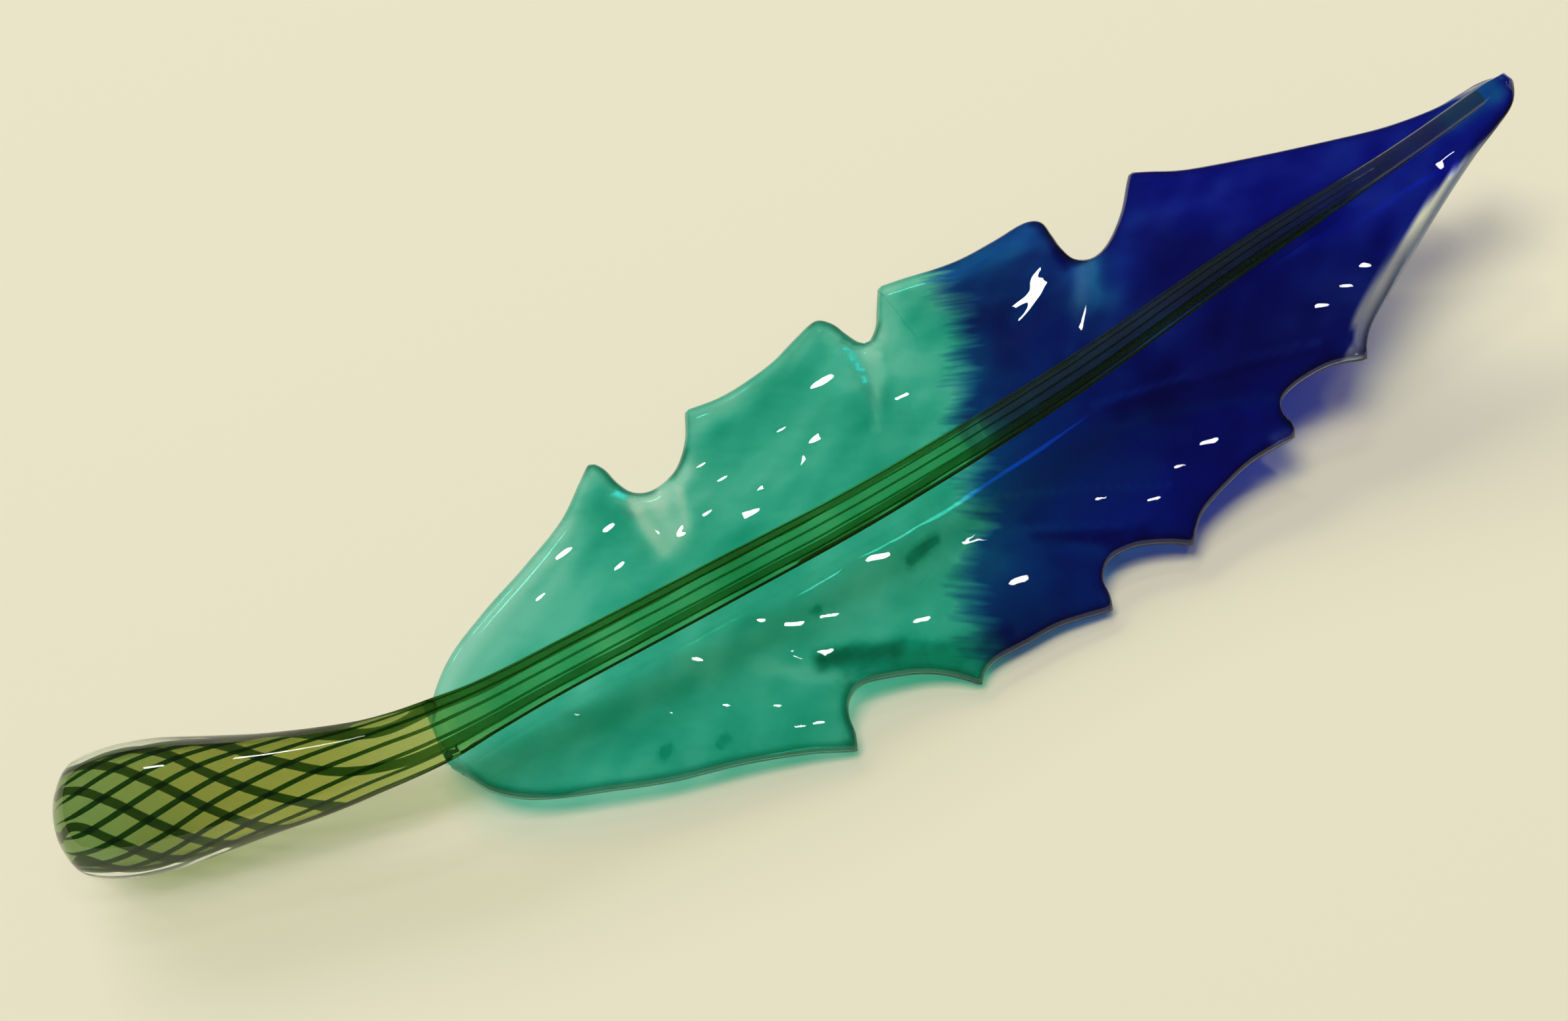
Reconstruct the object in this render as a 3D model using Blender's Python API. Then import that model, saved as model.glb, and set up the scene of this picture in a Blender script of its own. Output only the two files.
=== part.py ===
"""A hot-worked glass feather: a striped cane stem, gathered into a rounded clear handle at one end,
lying along the ridge of an arched, lobed vane whose clear sheet carries a teal and a cobalt layer.

The stem runs along +X from the butt of the handle to the drawn tip, and the feather is lying at
rest on the belly of its handle and the lowest lobes of its vane. Design values are in millimetres.
"""

import math

import bmesh
import bpy
from mathutils import Vector
from mathutils.geometry import delaunay_2d_cdt

MM = 0.001
UP = Vector((0, 0, 1))

# The stem's axis, as x, y and height, from the butt of the handle to the drawn tip.
STEM_AXIS = (
    (-103, -6, 7.6),
    (-88, -10.2, 7.5),
    (-72, -14.4, 8.3),
    (-60, -16, 9.3),
    (-42, -15.5, 10.8),
    (-22, -14.5, 11.9),
    (0, -12.5, 11.9),
    (30, -8.5, 12.9),
    (60, -4, 16.8),
    (85, -1.5, 20.7),
    (106, 1.5, 24.2),
)
# Radius of the stem over its canes, by x: a narrow flat butt, a thick grip, a long taper.
STEM_RADIUS = (
    (-103, 1.9),
    (-102.3, 3.9),
    (-100, 4.8),
    (-94, 5.1),
    (-80, 4.6),
    (-66, 4.1),
    (-59, 3.8),
    (-54, 3.3),
    (-47, 3.0),
    (-22, 2.8),
    (27, 2.4),
    (60, 2.0),
    (82, 1.5),
    (104, 1.2),
)
# Outer radius of the clear gather over the handle, by x.
CASING_RADIUS = (
    (-101.5, 5.9),
    (-99, 7.1),
    (-95, 7.8),
    (-91, 7.7),
    (-86, 6.9),
    (-80, 5.9),
    (-76, 5.4),
    (-72, 5.0),
)
BUTT_X = -103.0  # where the flat of the butt is
STEM_END_X = 103.0  # where the stem runs out into the vane's tip
CASING_STATIONS = (-101.5, -100.5, -99, -97, -94.5, -91, -88, -85, -82, -79, -76, -72)
STEM_STATIONS_HANDLE = (-102.3, -101.2, -99.5, -97, -94, -91, -88, -85, -82, -79, -76, -73, -70, -67)
STEM_STATION_STEP = 9.0  # spacing of the sections past the handle

CANE_COUNT = 12
CANE_SHARE = 0.46  # the part of the circumference that the canes cover
CANE_START_X = -101.2
CANE_END_X = 80.0  # the canes are drawn out to nothing here
CANE_HEIGHT_SHARE = 0.24  # height of a cane, as a share of the stem's radius
CANE_TWIST = 2.4  # radians that the canes turn through, all in the handle
TWIST_END_X = -64.0  # past this the canes run straight
FUSE_GAP = 0.2  # clearance between fused layers of the stem

CORE_SIDES = 12
CASING_SIDES = 16

VANE_CLEAR = 1.3  # thickness of the clear sheet
VANE_COLOUR = 0.7  # thickness of the colour on it
VANE_GAP = 0.3  # clearance between the sheet, the colour and the stem
COLOUR_INSET = 0.7  # how far the clear sheet stands out round the colour
FAR_SLOPE = math.radians(13.8)  # how steeply the vane falls away on its +Y side
NEAR_SLOPE = math.radians(19)
RIDGE_WIDTH = 4.0  # half width of the rounding at the ridge under the stem
GRID_STEP = 10.0  # spacing of the vane's inner points along the stem
GRID_ROWS = (-20, -14, -8, -3.5, 0, 3.5, 8, 14, 20, 26)  # and across it
GRID_MARGIN = 2.0  # inner points keep this far from the edge
LONG_EDGE = 3.2  # an edge longer than this gets a point in its middle

# The vane's edge, as x and the distance from the stem's axis (+ is the +Y side). Each run is smooth,
# and two runs meet at a sharp corner. The runs go from the vane's base to its tip.
FAR_RUNS = (
    (
        (-60.5, 0), (-60, 4), (-58, 8), (-53.8, 12), (-47.5, 15.5), (-40.5, 19), (-33, 23.2),
        (-27.5, 28), (-24.8, 30), (-23.5, 28), (-23.2, 24.5), (-22.3, 21.8), (-20, 20.7),
        (-16, 22), (-12, 26), (-9, 30.8),
    ),
    (
        (-9, 30.8), (-4, 30), (1, 30.2), (6, 31), (10.5, 32.5), (15, 33.6), (16.6, 31.5),
        (16.8, 28.5), (17.1, 26), (18, 25.3), (20.5, 27), (23, 30), (25.4, 33),
    ),
    (
        (25.4, 33), (29, 31.8), (33, 30.2), (37, 29), (42, 28.3), (46.8, 27.8), (48.5, 26),
        (47.8, 22.8), (47, 20), (46.9, 17.2), (48.5, 15.7), (51.7, 16.4), (56.5, 19.6), (61.5, 24.5),
    ),
    (
        (61.5, 24.5), (63.3, 22.6), (66, 19.7), (70, 16.9), (76, 13.3), (83, 9.4), (89, 6.2), (95, 4),
        (100, 3.2), (103.5, 2.2), (105, 0),
    ),
)
NEAR_RUNS = (
    (
        (-60.5, 0), (-60, -2), (-58.5, -4.2), (-56.8, -7), (-54, -9.5), (-50, -11.6),
        (-44.5, -13.7), (-37.5, -16.1), (-29.5, -18.2), (-22.5, -20.7), (-17, -23.3),
    ),
    (
        (-17, -23.3), (-16.2, -21.6), (-15.8, -19.5), (-14.7, -17.8), (-12.5, -16.9), (-9.5, -17.6),
        (-5.5, -19.2), (-2.5, -21.3), (0, -24),
    ),
    ((0, -24), (1.3, -23), (3.5, -22.5), (7.5, -22.8), (12, -23.1), (15.7, -24), (19.2, -25)),
    (
        (19.2, -25), (19.9, -23.5), (20.2, -21.8), (21.5, -20.4), (23.4, -19.8), (26.5, -20.3),
        (30, -22), (32.8, -24.1),
    ),
    ((32.8, -24.1), (34, -23), (36.3, -21.6), (40, -20.8), (44.5, -20.3), (48.3, -20.5), (52, -21)),
    (
        (52, -21), (52.8, -19.8), (52.5, -18.2), (53.2, -16.7), (55.2, -16), (59, -16),
        (62.8, -16.6), (67, -18.3),
    ),
    (
        (67, -18.3), (68, -17), (70, -15.4), (74.5, -13.2), (81, -10.2), (88, -7.3),
        (95, -4.7), (100.5, -3), (104, -1.8), (105, 0),
    ),
)

# The teal colour stops and the cobalt begins along a jagged line that leans across the vane.
SEAM_X = 14.5  # where the line crosses the stem
SEAM_LEAN = 0.6  # how far it leans towards the tip, per distance from the stem
SEAM_TEETH = (-16, -12, -8, -4, 0, 4, 8, 12, 16, 20, 24)  # where its points are, across the stem
SEAM_TOOTH = 2.0  # how far each point stands out to either side
SEAM_GAP = 0.3


def curve_value(points, x, column=1):
    """Smooth curve through a table of points, read at x, by cubic pieces between neighbours."""
    last = len(points) - 1

    def slope(i):
        a, b = max(i - 1, 0), min(i + 1, last)
        return (points[b][column] - points[a][column]) / (points[b][0] - points[a][0])

    i = 0
    while i < last - 1 and points[i + 1][0] < x:
        i += 1
    width = points[i + 1][0] - points[i][0]
    t = (x - points[i][0]) / width
    rise = points[i + 1][column] - points[i][column]
    start_slope, end_slope = slope(i) * width, slope(i + 1) * width
    cubic = start_slope + end_slope - 2 * rise
    square = 3 * rise - 2 * start_slope - end_slope
    return points[i][column] + t * (start_slope + t * (square + t * cubic))


def axis_point(x):
    """Point of the stem's axis at x."""
    return Vector((x, curve_value(STEM_AXIS, x, 1), curve_value(STEM_AXIS, x, 2)))


def axis_frame(x):
    """The stem's side and top directions at x, both square to its axis."""
    step = 0.5
    tangent = (axis_point(x + step) - axis_point(x - step)).normalized()
    side = UP.cross(tangent).normalized()
    return side, tangent.cross(side)


def stem_radius(x):
    """Radius of the stem over its canes at x."""
    return curve_value(STEM_RADIUS, x)


def cane_height(x):
    """How far a cane stands out of the core's surface layer at x."""
    return CANE_HEIGHT_SHARE * stem_radius(x)


def core_radius(x):
    """Radius of the core under the canes at x."""
    return stem_radius(x) - cane_height(x) - FUSE_GAP


def stem_stations():
    """Where the stem's sections are: close together in the handle, wide apart past it."""
    stations = list(STEM_STATIONS_HANDLE)
    while stations[-1] + STEM_STATION_STEP < STEM_END_X - 1:
        stations.append(stations[-1] + STEM_STATION_STEP)
    return stations


def round_section(x, radius, sides):
    """A ring of points round the stem's axis at x."""
    centre = axis_point(x)
    side, top = axis_frame(x)
    angles = [2 * math.pi * i / sides for i in range(sides)]
    return [centre + radius * (math.cos(a) * side + math.sin(a) * top) for a in angles]


def material(name, colour, roughness, transmission):
    """A clear or coloured glass."""
    mat = bpy.data.materials.new(name)
    mat.use_nodes = True
    shader = mat.node_tree.nodes["Principled BSDF"]
    shader.inputs["Base Color"].default_value = (*colour, 1)
    shader.inputs["Roughness"].default_value = roughness
    shader.inputs["Metallic"].default_value = 0
    shader.inputs["IOR"].default_value = 1.5
    shader.inputs["Transmission Weight"].default_value = transmission
    return mat


def make_object(name, bm, mat, root, smooth_angle=40):
    """Turn a bmesh in millimetres into a named, shaded object under the root empty."""
    bmesh.ops.recalc_face_normals(bm, faces=bm.faces)
    bmesh.ops.scale(bm, vec=(MM, MM, MM), verts=bm.verts)
    mesh = bpy.data.meshes.new(name)
    bm.to_mesh(mesh)
    bm.free()
    mesh.materials.append(mat)
    mesh.shade_smooth()
    mesh.set_sharp_from_angle(angle=math.radians(smooth_angle))
    obj = bpy.data.objects.new(name, mesh)
    bpy.context.scene.collection.objects.link(obj)
    obj.parent = root
    return obj


def loft(bm, sections, close_ends=True):
    """Skin a list of equal rings, and cap both ends."""
    rings = [[bm.verts.new(p) for p in section] for section in sections]
    for a, b in zip(rings, rings[1:]):
        for i in range(len(a)):
            j = (i + 1) % len(a)
            bm.faces.new((a[i], a[j], b[j], b[i]))
    if close_ends:
        bm.faces.new(rings[0][::-1])
        bm.faces.new(rings[-1])
    return rings


def build_core(mat, root):
    """The pale core rod, with its flat butt and its rounded far end."""
    bm = bmesh.new()
    butt_radius, end_share = stem_radius(BUTT_X), 0.6
    # the butt's nose is the core's own, because the canes stop short of it
    nose_x = STEM_STATIONS_HANDLE[0]
    sections = [round_section(BUTT_X, butt_radius, CORE_SIDES)]
    sections.append(round_section(nose_x, stem_radius(nose_x), CORE_SIDES))
    sections += [round_section(x, core_radius(x), CORE_SIDES) for x in stem_stations()[1:]]
    sections.append(round_section(STEM_END_X, core_radius(STEM_END_X) * end_share, CORE_SIDES))
    loft(bm, sections)
    make_object("stem_core", bm, mat, root)


def cane_angle(x):
    """How far the canes have turned round the stem at x: straight past the handle."""
    run = max(TWIST_END_X - x, 0) / (TWIST_END_X - CANE_START_X)
    return CANE_TWIST * run * run * (1.5 - 0.5 * run)


def cane_section(x, phase, width_share):
    """The four corners of one cane at x, on the surface of the core."""
    centre = axis_point(x)
    side, top = axis_frame(x)
    inner, outer = stem_radius(x) - cane_height(x), stem_radius(x)
    half = math.pi / CANE_COUNT * CANE_SHARE * width_share
    middle = phase + cane_angle(x)
    corners = ((inner, -half), (outer, -half * 0.7), (outer, half * 0.7), (inner, half))
    return [
        centre + radius * (math.cos(middle + a) * side + math.sin(middle + a) * top)
        for radius, a in corners
    ]


def build_canes(mat, root):
    """The dark canes round the core, each a strip of its own, twisted in the handle."""
    stations = [CANE_START_X] + [x for x in stem_stations() if CANE_START_X < x < CANE_END_X]
    stations.append(CANE_END_X)
    end_share = 0.5
    for number in range(CANE_COUNT):
        bm = bmesh.new()
        phase = 2 * math.pi * (number + 0.5) / CANE_COUNT
        shares = [1.0] * (len(stations) - 1) + [end_share]
        loft(bm, [cane_section(x, phase, share) for x, share in zip(stations, shares)])
        make_object(f"cane_{number + 1:02d}", bm, mat, root)


def build_casing(mat, root):
    """The clear gather round the handle: a shell, open at the butt and where it meets the stem."""
    bm = bmesh.new()
    outer = [round_section(x, curve_value(CASING_RADIUS, x), CASING_SIDES) for x in CASING_STATIONS]
    inner = [
        round_section(x, stem_radius(x) + VANE_GAP, CASING_SIDES) for x in reversed(CASING_STATIONS)
    ]
    rings = loft(bm, outer + inner, close_ends=False)
    first, last = rings[0], rings[-1]
    for i in range(CASING_SIDES):
        j = (i + 1) % CASING_SIDES
        bm.faces.new((last[i], last[j], first[j], first[i]))
    make_object("handle_casing", bm, mat, root)


def smooth_run(points, long_edge):
    """Points along a smooth run, without its last one: a middle point is added on long edges."""
    out = []
    for i in range(len(points) - 1):
        a, b = Vector(points[i]), Vector(points[i + 1])
        out.append(a)
        if (b - a).length > long_edge:
            before = Vector(points[max(i - 1, 0)])
            after = Vector(points[min(i + 2, len(points) - 1)])
            out.append((a + b) / 2 + (a + b - before - after) / 16)
    return out


def vane_outline(long_edge=LONG_EDGE):
    """The vane's closed edge: along the far side to the tip, and back along the near side."""
    far = [p for run in FAR_RUNS for p in smooth_run(run, long_edge)]
    near = [p for run in NEAR_RUNS for p in smooth_run(run, long_edge)]
    tip = Vector(FAR_RUNS[-1][-1])
    return far + [tip] + near[:0:-1]


def inset_outline(outline, distance):
    """The same edge moved inwards, each corner along the line that halves it."""
    moved = []
    count = len(outline)
    sharpest = 0.35  # keeps a very sharp corner from moving too far
    for i, point in enumerate(outline):
        before = (point - outline[i - 1]).normalized()
        after = (outline[(i + 1) % count] - point).normalized()
        along = (before + after).normalized()
        inward = Vector((along.y, -along.x))
        moved.append(point + inward * distance / max(along.dot(before), sharpest))
    return moved


def edge_distance(point, outline):
    """Distance from a point to the nearest edge of an outline, negative outside it."""
    nearest, inside = math.inf, False
    for i, b in enumerate(outline):
        a = outline[i - 1]
        edge = b - a
        t = min(max((point - a).dot(edge) / edge.length_squared, 0), 1)
        nearest = min(nearest, (point - a - edge * t).length)
        if (a.y > point.y) != (b.y > point.y):
            if point.x < a.x + (point.y - a.y) / edge.y * edge.x:
                inside = not inside
    return nearest if inside else -nearest


def seam_x(across):
    """Where the middle of the colour seam is, at a distance across the stem."""
    return SEAM_X + SEAM_LEAN * across


def seam_line(shift):
    """The jagged seam from the near side to the far side, moved along the stem by shift."""
    points = []
    for number, across in enumerate(SEAM_TEETH):
        tooth = SEAM_TOOTH if number % 2 else -SEAM_TOOTH
        points.append(Vector((seam_x(across) + tooth + shift, across)))
    return points


def colour_outline(outline, teal):
    """The part of the outline on one side of the seam, closed by the seam's own line."""
    shift = -SEAM_GAP if teal else SEAM_GAP
    before_seam = [p.x < seam_x(p.y) + shift for p in outline]
    kept = [i for i, is_before in enumerate(before_seam) if is_before == teal]
    # the kept points are one unbroken stretch: start it where the other colour's points end
    start = next(i for i in kept if before_seam[i - 1] != teal)
    stretch = [outline[(start + i) % len(outline)] for i in range(len(kept))]
    line = seam_line(shift)
    far_to_near = stretch[-1].y > stretch[0].y
    return stretch + (line[::-1] if far_to_near else line)


def vane_point(point, level):
    """A point of the vane in space: level is its height over the clear sheet's underside."""
    x, across = point.x, point.y
    centre = axis_point(x)
    side, _ = axis_frame(x)
    slope = math.tan(FAR_SLOPE if across > 0 else NEAR_SLOPE)
    fall = slope * (math.hypot(across, RIDGE_WIDTH) - RIDGE_WIDTH)
    vane_top = centre.z - stem_radius(x) - VANE_GAP
    underside = vane_top - VANE_COLOUR - VANE_GAP - VANE_CLEAR
    return Vector((centre.x, centre.y, underside - fall + level)) + side * across


def grid_points(outline):
    """Inner points of a layer, so that it follows the arch of the vane."""
    points = []
    x = FAR_RUNS[0][0][0]
    while x < STEM_END_X:
        for across in GRID_ROWS:
            point = Vector((x, across))
            if edge_distance(point, outline) > GRID_MARGIN:
                points.append(point)
        x += GRID_STEP
    return points


def build_layer(name, outline, bottom, top, mat, root):
    """One layer of the vane: the same triangles above and below, joined round the edge."""
    flat = outline + grid_points(outline)
    loop = list(range(len(outline)))
    inside_only = 1
    merge = 1e-4
    points, _, triangles, _, _, _ = delaunay_2d_cdt(flat, [], [loop], inside_only, merge)
    bm = bmesh.new()
    low = [bm.verts.new(vane_point(p, bottom)) for p in points]
    high = [bm.verts.new(vane_point(p, top)) for p in points]
    for triangle in triangles:
        bm.faces.new([high[i] for i in triangle])
        bm.faces.new([low[i] for i in reversed(triangle)])
    bm.verts.index_update()
    rim = [e for e in bm.edges if e.is_boundary and e.verts[0].index < len(points)]
    for edge in rim:
        a, b = edge.verts[0].index, edge.verts[1].index
        bm.faces.new((low[a], low[b], high[b], high[a]))
    make_object(name, bm, mat, root)


def build_vane(clear, teal, cobalt, root):
    """The clear lobed sheet, and the two colours fused on to it."""
    outline = vane_outline()
    build_layer("vane_base", outline, 0, VANE_CLEAR, clear, root)
    inner = inset_outline(outline, COLOUR_INSET)
    bottom = VANE_CLEAR + VANE_GAP
    top = bottom + VANE_COLOUR
    build_layer("vane_teal", colour_outline(inner, True), bottom, top, teal, root)
    build_layer("vane_cobalt", colour_outline(inner, False), bottom, top, cobalt, root)


def stand_on_origin(root):
    """Move the root so that the middle of the model's underside is at the origin."""
    bpy.context.view_layer.update()
    corners = [o.matrix_world @ v.co for o in root.children for v in o.data.vertices]
    low = [min(c[i] for c in corners) for i in range(3)]
    high = [max(c[i] for c in corners) for i in range(3)]
    root.location = (-(low[0] + high[0]) / 2, -(low[1] + high[1]) / 2, -low[2])
    bpy.context.view_layer.update()


def main():
    for obj in list(bpy.data.objects):
        bpy.data.objects.remove(obj, do_unlink=True)
    root = bpy.data.objects.new("feather", None)
    bpy.context.scene.collection.objects.link(root)

    clear = material("clear_glass", (0.9, 0.93, 0.88), 0.03, 1.0)
    core = material("yellow_green_glass", (0.42, 0.5, 0.1), 0.05, 0.6)
    cane = material("dark_green_glass", (0.01, 0.06, 0.015), 0.08, 0.2)
    teal = material("teal_glass", (0.05, 0.42, 0.3), 0.05, 0.6)
    cobalt = material("cobalt_glass", (0.005, 0.015, 0.22), 0.05, 0.5)

    build_core(core, root)
    build_canes(cane, root)
    build_casing(clear, root)
    build_vane(clear, teal, cobalt, root)
    stand_on_origin(root)


main()
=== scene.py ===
"""Looks for the hot-worked glass feather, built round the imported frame.

One clear skin follows the handle and the stem, and another is the lobed vane. Where they are fused
their faces pass light straight on, so that the two skins bend light as one body of glass. The
tinted core, the dark threads, and the teal and cobalt films lie inside the skins and tint the
light without bending it. Design values are in millimetres, as in the part's own source.
"""

import math

import bpy
import numpy as np
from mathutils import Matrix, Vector, noise
from mathutils.geometry import delaunay_2d_cdt


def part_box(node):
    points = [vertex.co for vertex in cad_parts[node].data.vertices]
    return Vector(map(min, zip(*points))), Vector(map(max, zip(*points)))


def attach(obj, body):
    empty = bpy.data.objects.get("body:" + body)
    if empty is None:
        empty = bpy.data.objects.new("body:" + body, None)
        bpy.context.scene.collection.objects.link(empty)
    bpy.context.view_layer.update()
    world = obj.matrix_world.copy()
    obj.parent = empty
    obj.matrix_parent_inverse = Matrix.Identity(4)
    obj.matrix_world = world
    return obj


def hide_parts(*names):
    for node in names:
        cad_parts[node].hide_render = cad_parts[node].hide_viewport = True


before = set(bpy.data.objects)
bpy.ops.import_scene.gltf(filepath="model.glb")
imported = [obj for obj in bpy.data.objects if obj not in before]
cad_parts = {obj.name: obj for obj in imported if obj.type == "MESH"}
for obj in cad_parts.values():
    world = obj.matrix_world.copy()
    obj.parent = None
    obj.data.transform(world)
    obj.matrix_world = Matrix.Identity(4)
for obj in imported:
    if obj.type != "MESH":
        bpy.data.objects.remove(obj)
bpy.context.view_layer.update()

MM = 0.001

# -------------------- shape, as the part's source has it
STEM_AXIS = (
    (-103, -6, 7.6), (-88, -10.2, 7.5), (-72, -14.4, 8.3), (-60, -16, 9.3), (-42, -15.5, 10.8),
    (-22, -14.5, 11.9), (0, -12.5, 11.9), (30, -8.5, 12.9), (60, -4, 16.8), (85, -1.5, 20.7),
    (106, 1.5, 24.2),
)
STEM_RADIUS = (
    (-103, 1.9), (-102.3, 3.9), (-100, 4.8), (-94, 5.1), (-80, 4.6), (-66, 4.1), (-59, 3.8),
    (-54, 3.3), (-47, 3.0), (-22, 2.8), (27, 2.4), (60, 2.0), (82, 1.5), (104, 1.2),
)
VANE_THICK = 2.3  # the clear sheet with its colour
VANE_GAP = 0.3
FAR_SLOPE = math.radians(13.8)
NEAR_SLOPE = math.radians(19)
RIDGE_WIDTH = 4.0
FAR_RUNS = (
    (
        (-60.5, 0), (-60, 4), (-58, 8), (-53.8, 12), (-47.5, 15.5), (-40.5, 19), (-33, 23.2),
        (-27.5, 28), (-24.8, 30), (-23.5, 28), (-23.2, 24.5), (-22.3, 21.8), (-20, 20.7),
        (-16, 22), (-12, 26), (-9, 30.8),
    ),
    (
        (-9, 30.8), (-4, 30), (1, 30.2), (6, 31), (10.5, 32.5), (15, 33.6), (16.6, 31.5),
        (16.8, 28.5), (17.1, 26), (18, 25.3), (20.5, 27), (23, 30), (25.4, 33),
    ),
    (
        (25.4, 33), (29, 31.8), (33, 30.2), (37, 29), (42, 28.3), (46.8, 27.8), (48.5, 26),
        (47.8, 22.8), (47, 20), (46.9, 17.2), (48.5, 15.7), (51.7, 16.4), (56.5, 19.6),
        (61.5, 24.5),
    ),
    (
        (61.5, 24.5), (63.3, 22.6), (66, 19.7), (70, 16.9), (76, 13.3), (83, 9.4), (89, 6.2),
        (95, 4), (99, 3.3), (102, 2.9), (104, 2.0), (105, 0.2),
    ),
)
NEAR_RUNS = (
    (
        (-60.5, 0), (-60, -2), (-58.5, -4.2), (-56.8, -7), (-54, -9.5), (-50, -11.6),
        (-44.5, -13.7), (-37.5, -16.1), (-29.5, -18.2), (-22.5, -20.7), (-17, -23.3),
    ),
    (
        (-17, -23.3), (-16.2, -21.6), (-15.8, -19.5), (-14.7, -17.8), (-12.5, -16.9), (-9.5, -17.6),
        (-5.5, -19.2), (-2.5, -21.3), (0, -24),
    ),
    ((0, -24), (1.3, -23), (3.5, -22.5), (7.5, -22.8), (12, -23.1), (15.7, -24), (19.2, -25)),
    (
        (19.2, -25), (19.9, -23.5), (20.2, -21.8), (21.5, -20.4), (23.4, -19.8), (26.5, -20.3),
        (30, -22), (32.8, -24.1),
    ),
    ((32.8, -24.1), (34, -23), (36.3, -21.6), (40, -20.8), (44.5, -20.3), (48.3, -20.5), (52, -21)),
    (
        (52, -21), (52.8, -19.8), (52.5, -18.2), (53.2, -16.7), (55.2, -16), (59, -16),
        (62.8, -16.6), (67, -18.3),
    ),
    (
        (67, -18.3), (68, -17), (70, -15.4), (74.5, -13.2), (81, -10.2), (88, -7.3),
        (95, -4.9), (99.5, -3.8), (102.6, -2.9), (104.4, -1.6), (105, 0.2),
    ),
)

# -------------------- the finer shape of the real glass
# Outer radius of the clear skin, by x: the flat butt, the gather over the handle, the bare stem.
SKIN_RADIUS = (
    (-103, 1.9), (-102.8, 3.0), (-102.4, 4.0), (-101.9, 5.0), (-101.3, 5.9), (-100.3, 6.7),
    (-99, 7.2), (-97, 7.6), (-95, 7.8), (-91, 7.7), (-86, 6.9), (-80, 5.9), (-76, 5.4), (-72, 4.9),
    (-68, 4.4),
    (-64, 4.1), (-59, 3.8), (-54, 3.3), (-47, 3.0), (-22, 2.8), (27, 2.4), (60, 2.0), (82, 1.5),
    (104, 1.2),
)
CORE_SHARE = (
    (-103, 0.5), (-101, 0.52), (-99, 0.56), (-95, 0.585), (-88, 0.6), (-80, 0.65), (-72, 0.72),
    (-64, 0.8), (-55, 0.84), (104, 0.84),
)
CORE_ENDS = (-102.2, 99.0)
THREAD_COUNT = 12
THREAD_TURN = 2.4
THREAD_STRAIGHT_X = -64.0
THREAD_ENDS = (-101.6, 86.0)
THREAD_WIDTH = ((-80, -60), (0.14, 0.125))  # by x, the half width as a share of the spacing
THREAD_DEEP = 0.26

SKIN_SIDES, BARE_SIDES = 72, 54
CORE_FACETS, THREAD_FACETS = 36, 10
FUSED_ANGLE = math.radians(-48)  # how far round its side the stem is bare, from level
FUSED_FROM_X = -59.0
SINK_FROM_X, SINK_TO_X = 95.0, 103.0  # the stem sinks into the vane's tip here
SINK_ANGLE = math.radians(75)
SINK_RISE = 0.6  # how far the vane rises and grows less thick above its middle there
WELD_REACH = 1.1  # how far the weld between stem and vane fades out

EDGE_ROUND = 1.15
EDGE_POWER = 2.3
RIM_RINGS = (0.05, 0.16, 0.32, 0.55, 0.85, 1.2, 1.7)
OUTLINE_STEP = 0.55
GRID_STEP = 1.0

# Ridges that run inwards from the notches: their lines as x and distance from the stem, then the
# height and the half width.
RIDGES = (
    (((-22.6, 20.2), (-23.8, 15), (-24.2, 9)), 0.40, 1.1),
    (((-18.5, 20.6), (-19.6, 15), (-21, 9)), 0.30, 1.2),
    (((17.8, 24.6), (15.5, 20.5), (12.8, 15.5), (8.7, 11)), 0.45, 0.9),
    (((47.4, 15.4), (44.5, 12), (41, 8.6), (37, 6)), 0.55, 1.2),
    (((50.5, 15.2), (47.5, 10.5), (43, 7)), 0.25, 1.4),
    (((-13, -16.2), (-15.6, -14), (-18.5, -11), (-23, -9)), 0.45, 1.1),
    (((23, -19), (17.7, -16.4), (11.8, -11.3), (5.1, -9.3), (0, -7)), 0.55, 0.9),
    (((27, -19.6), (22, -15), (14, -10.5)), 0.35, 0.9),
    (((31.9, -15.1), (26, -12), (20.4, -9)), 0.30, 0.7),
    (((54.5, -15.4), (46.4, -11.2), (36, -7.1), (29, -4.8)), 0.24, 1.0),
    (((76, -8.5), (80, -7.6), (85, -6.5), (96.2, -3.3), (140, 9)), 0.42, 1.3),
    (((62, -13.3), (49.1, -8.4), (39.2, -5.7), (31, -3.6)), 0.16, 0.9),
)
# Places where the top is tilted so that a lamp shows in it: x, distance from the stem and size.
NEAR_GLINTS = (
    (-28.8, -5.4, 2.2), (-2.7, -5.2, 2.4), (-2.3, -14.3, 1.9), (-18, -10, 1.9),
    (-51.3, -11.9, 1.8), (-22.6, -14.9, 1.8), (-19.6, -18.6, 1.7), (10.8, -16.4, 2.4),
    (41.7, -15.5, 2.3), (36.8, -15.8, 1.6), (-19.8, -4.9, 1.6), (-44.5, -4.4, 1.6),
    (-34.3, -9.6, 1.7), (-28.3, -11.8, 1.9), (-14.6, -12.0, 1.8), (-16.4, -7.4, 1.8),
    (26, -13.5, 1.6), (-11.6, -8.6, 1.6), (-22.2, -18, 1.6), (31.6, -17.2, 1.7),
    (65.6, -10.2, 2.1), (69.6, -9.7, 2.1), (73.8, -9.1, 2.1),
)
FAR_GLINTS = (
    (-28, 18, 2.7), (-35.5, 17.5, 2.6), (-30, 11.5, 2.2), (-12.8, 20.2, 1.9), (-12.1, 16.4, 1.9),
    (-16.7, 15.5, 1.6), (-16.6, 12.5, 1.8), (8.2, 22.9, 3.5), (-1.5, 12.9, 2.7), (1.6, 15, 2.2),
    (-12, 9.4, 2.4), (-9.2, 11.8, 1.9), (-0.5, 19.1, 1.8), (41.6, 18.8, 3.0), (38.6, 16.4, 3.2),
    (35.4, 14.2, 3.0), (-23.6, 13.2, 1.8), (-21.5, 11.2, 1.8), (14.6, 13.5, 1.9), (-40.4, 13, 1.8),
)
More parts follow.
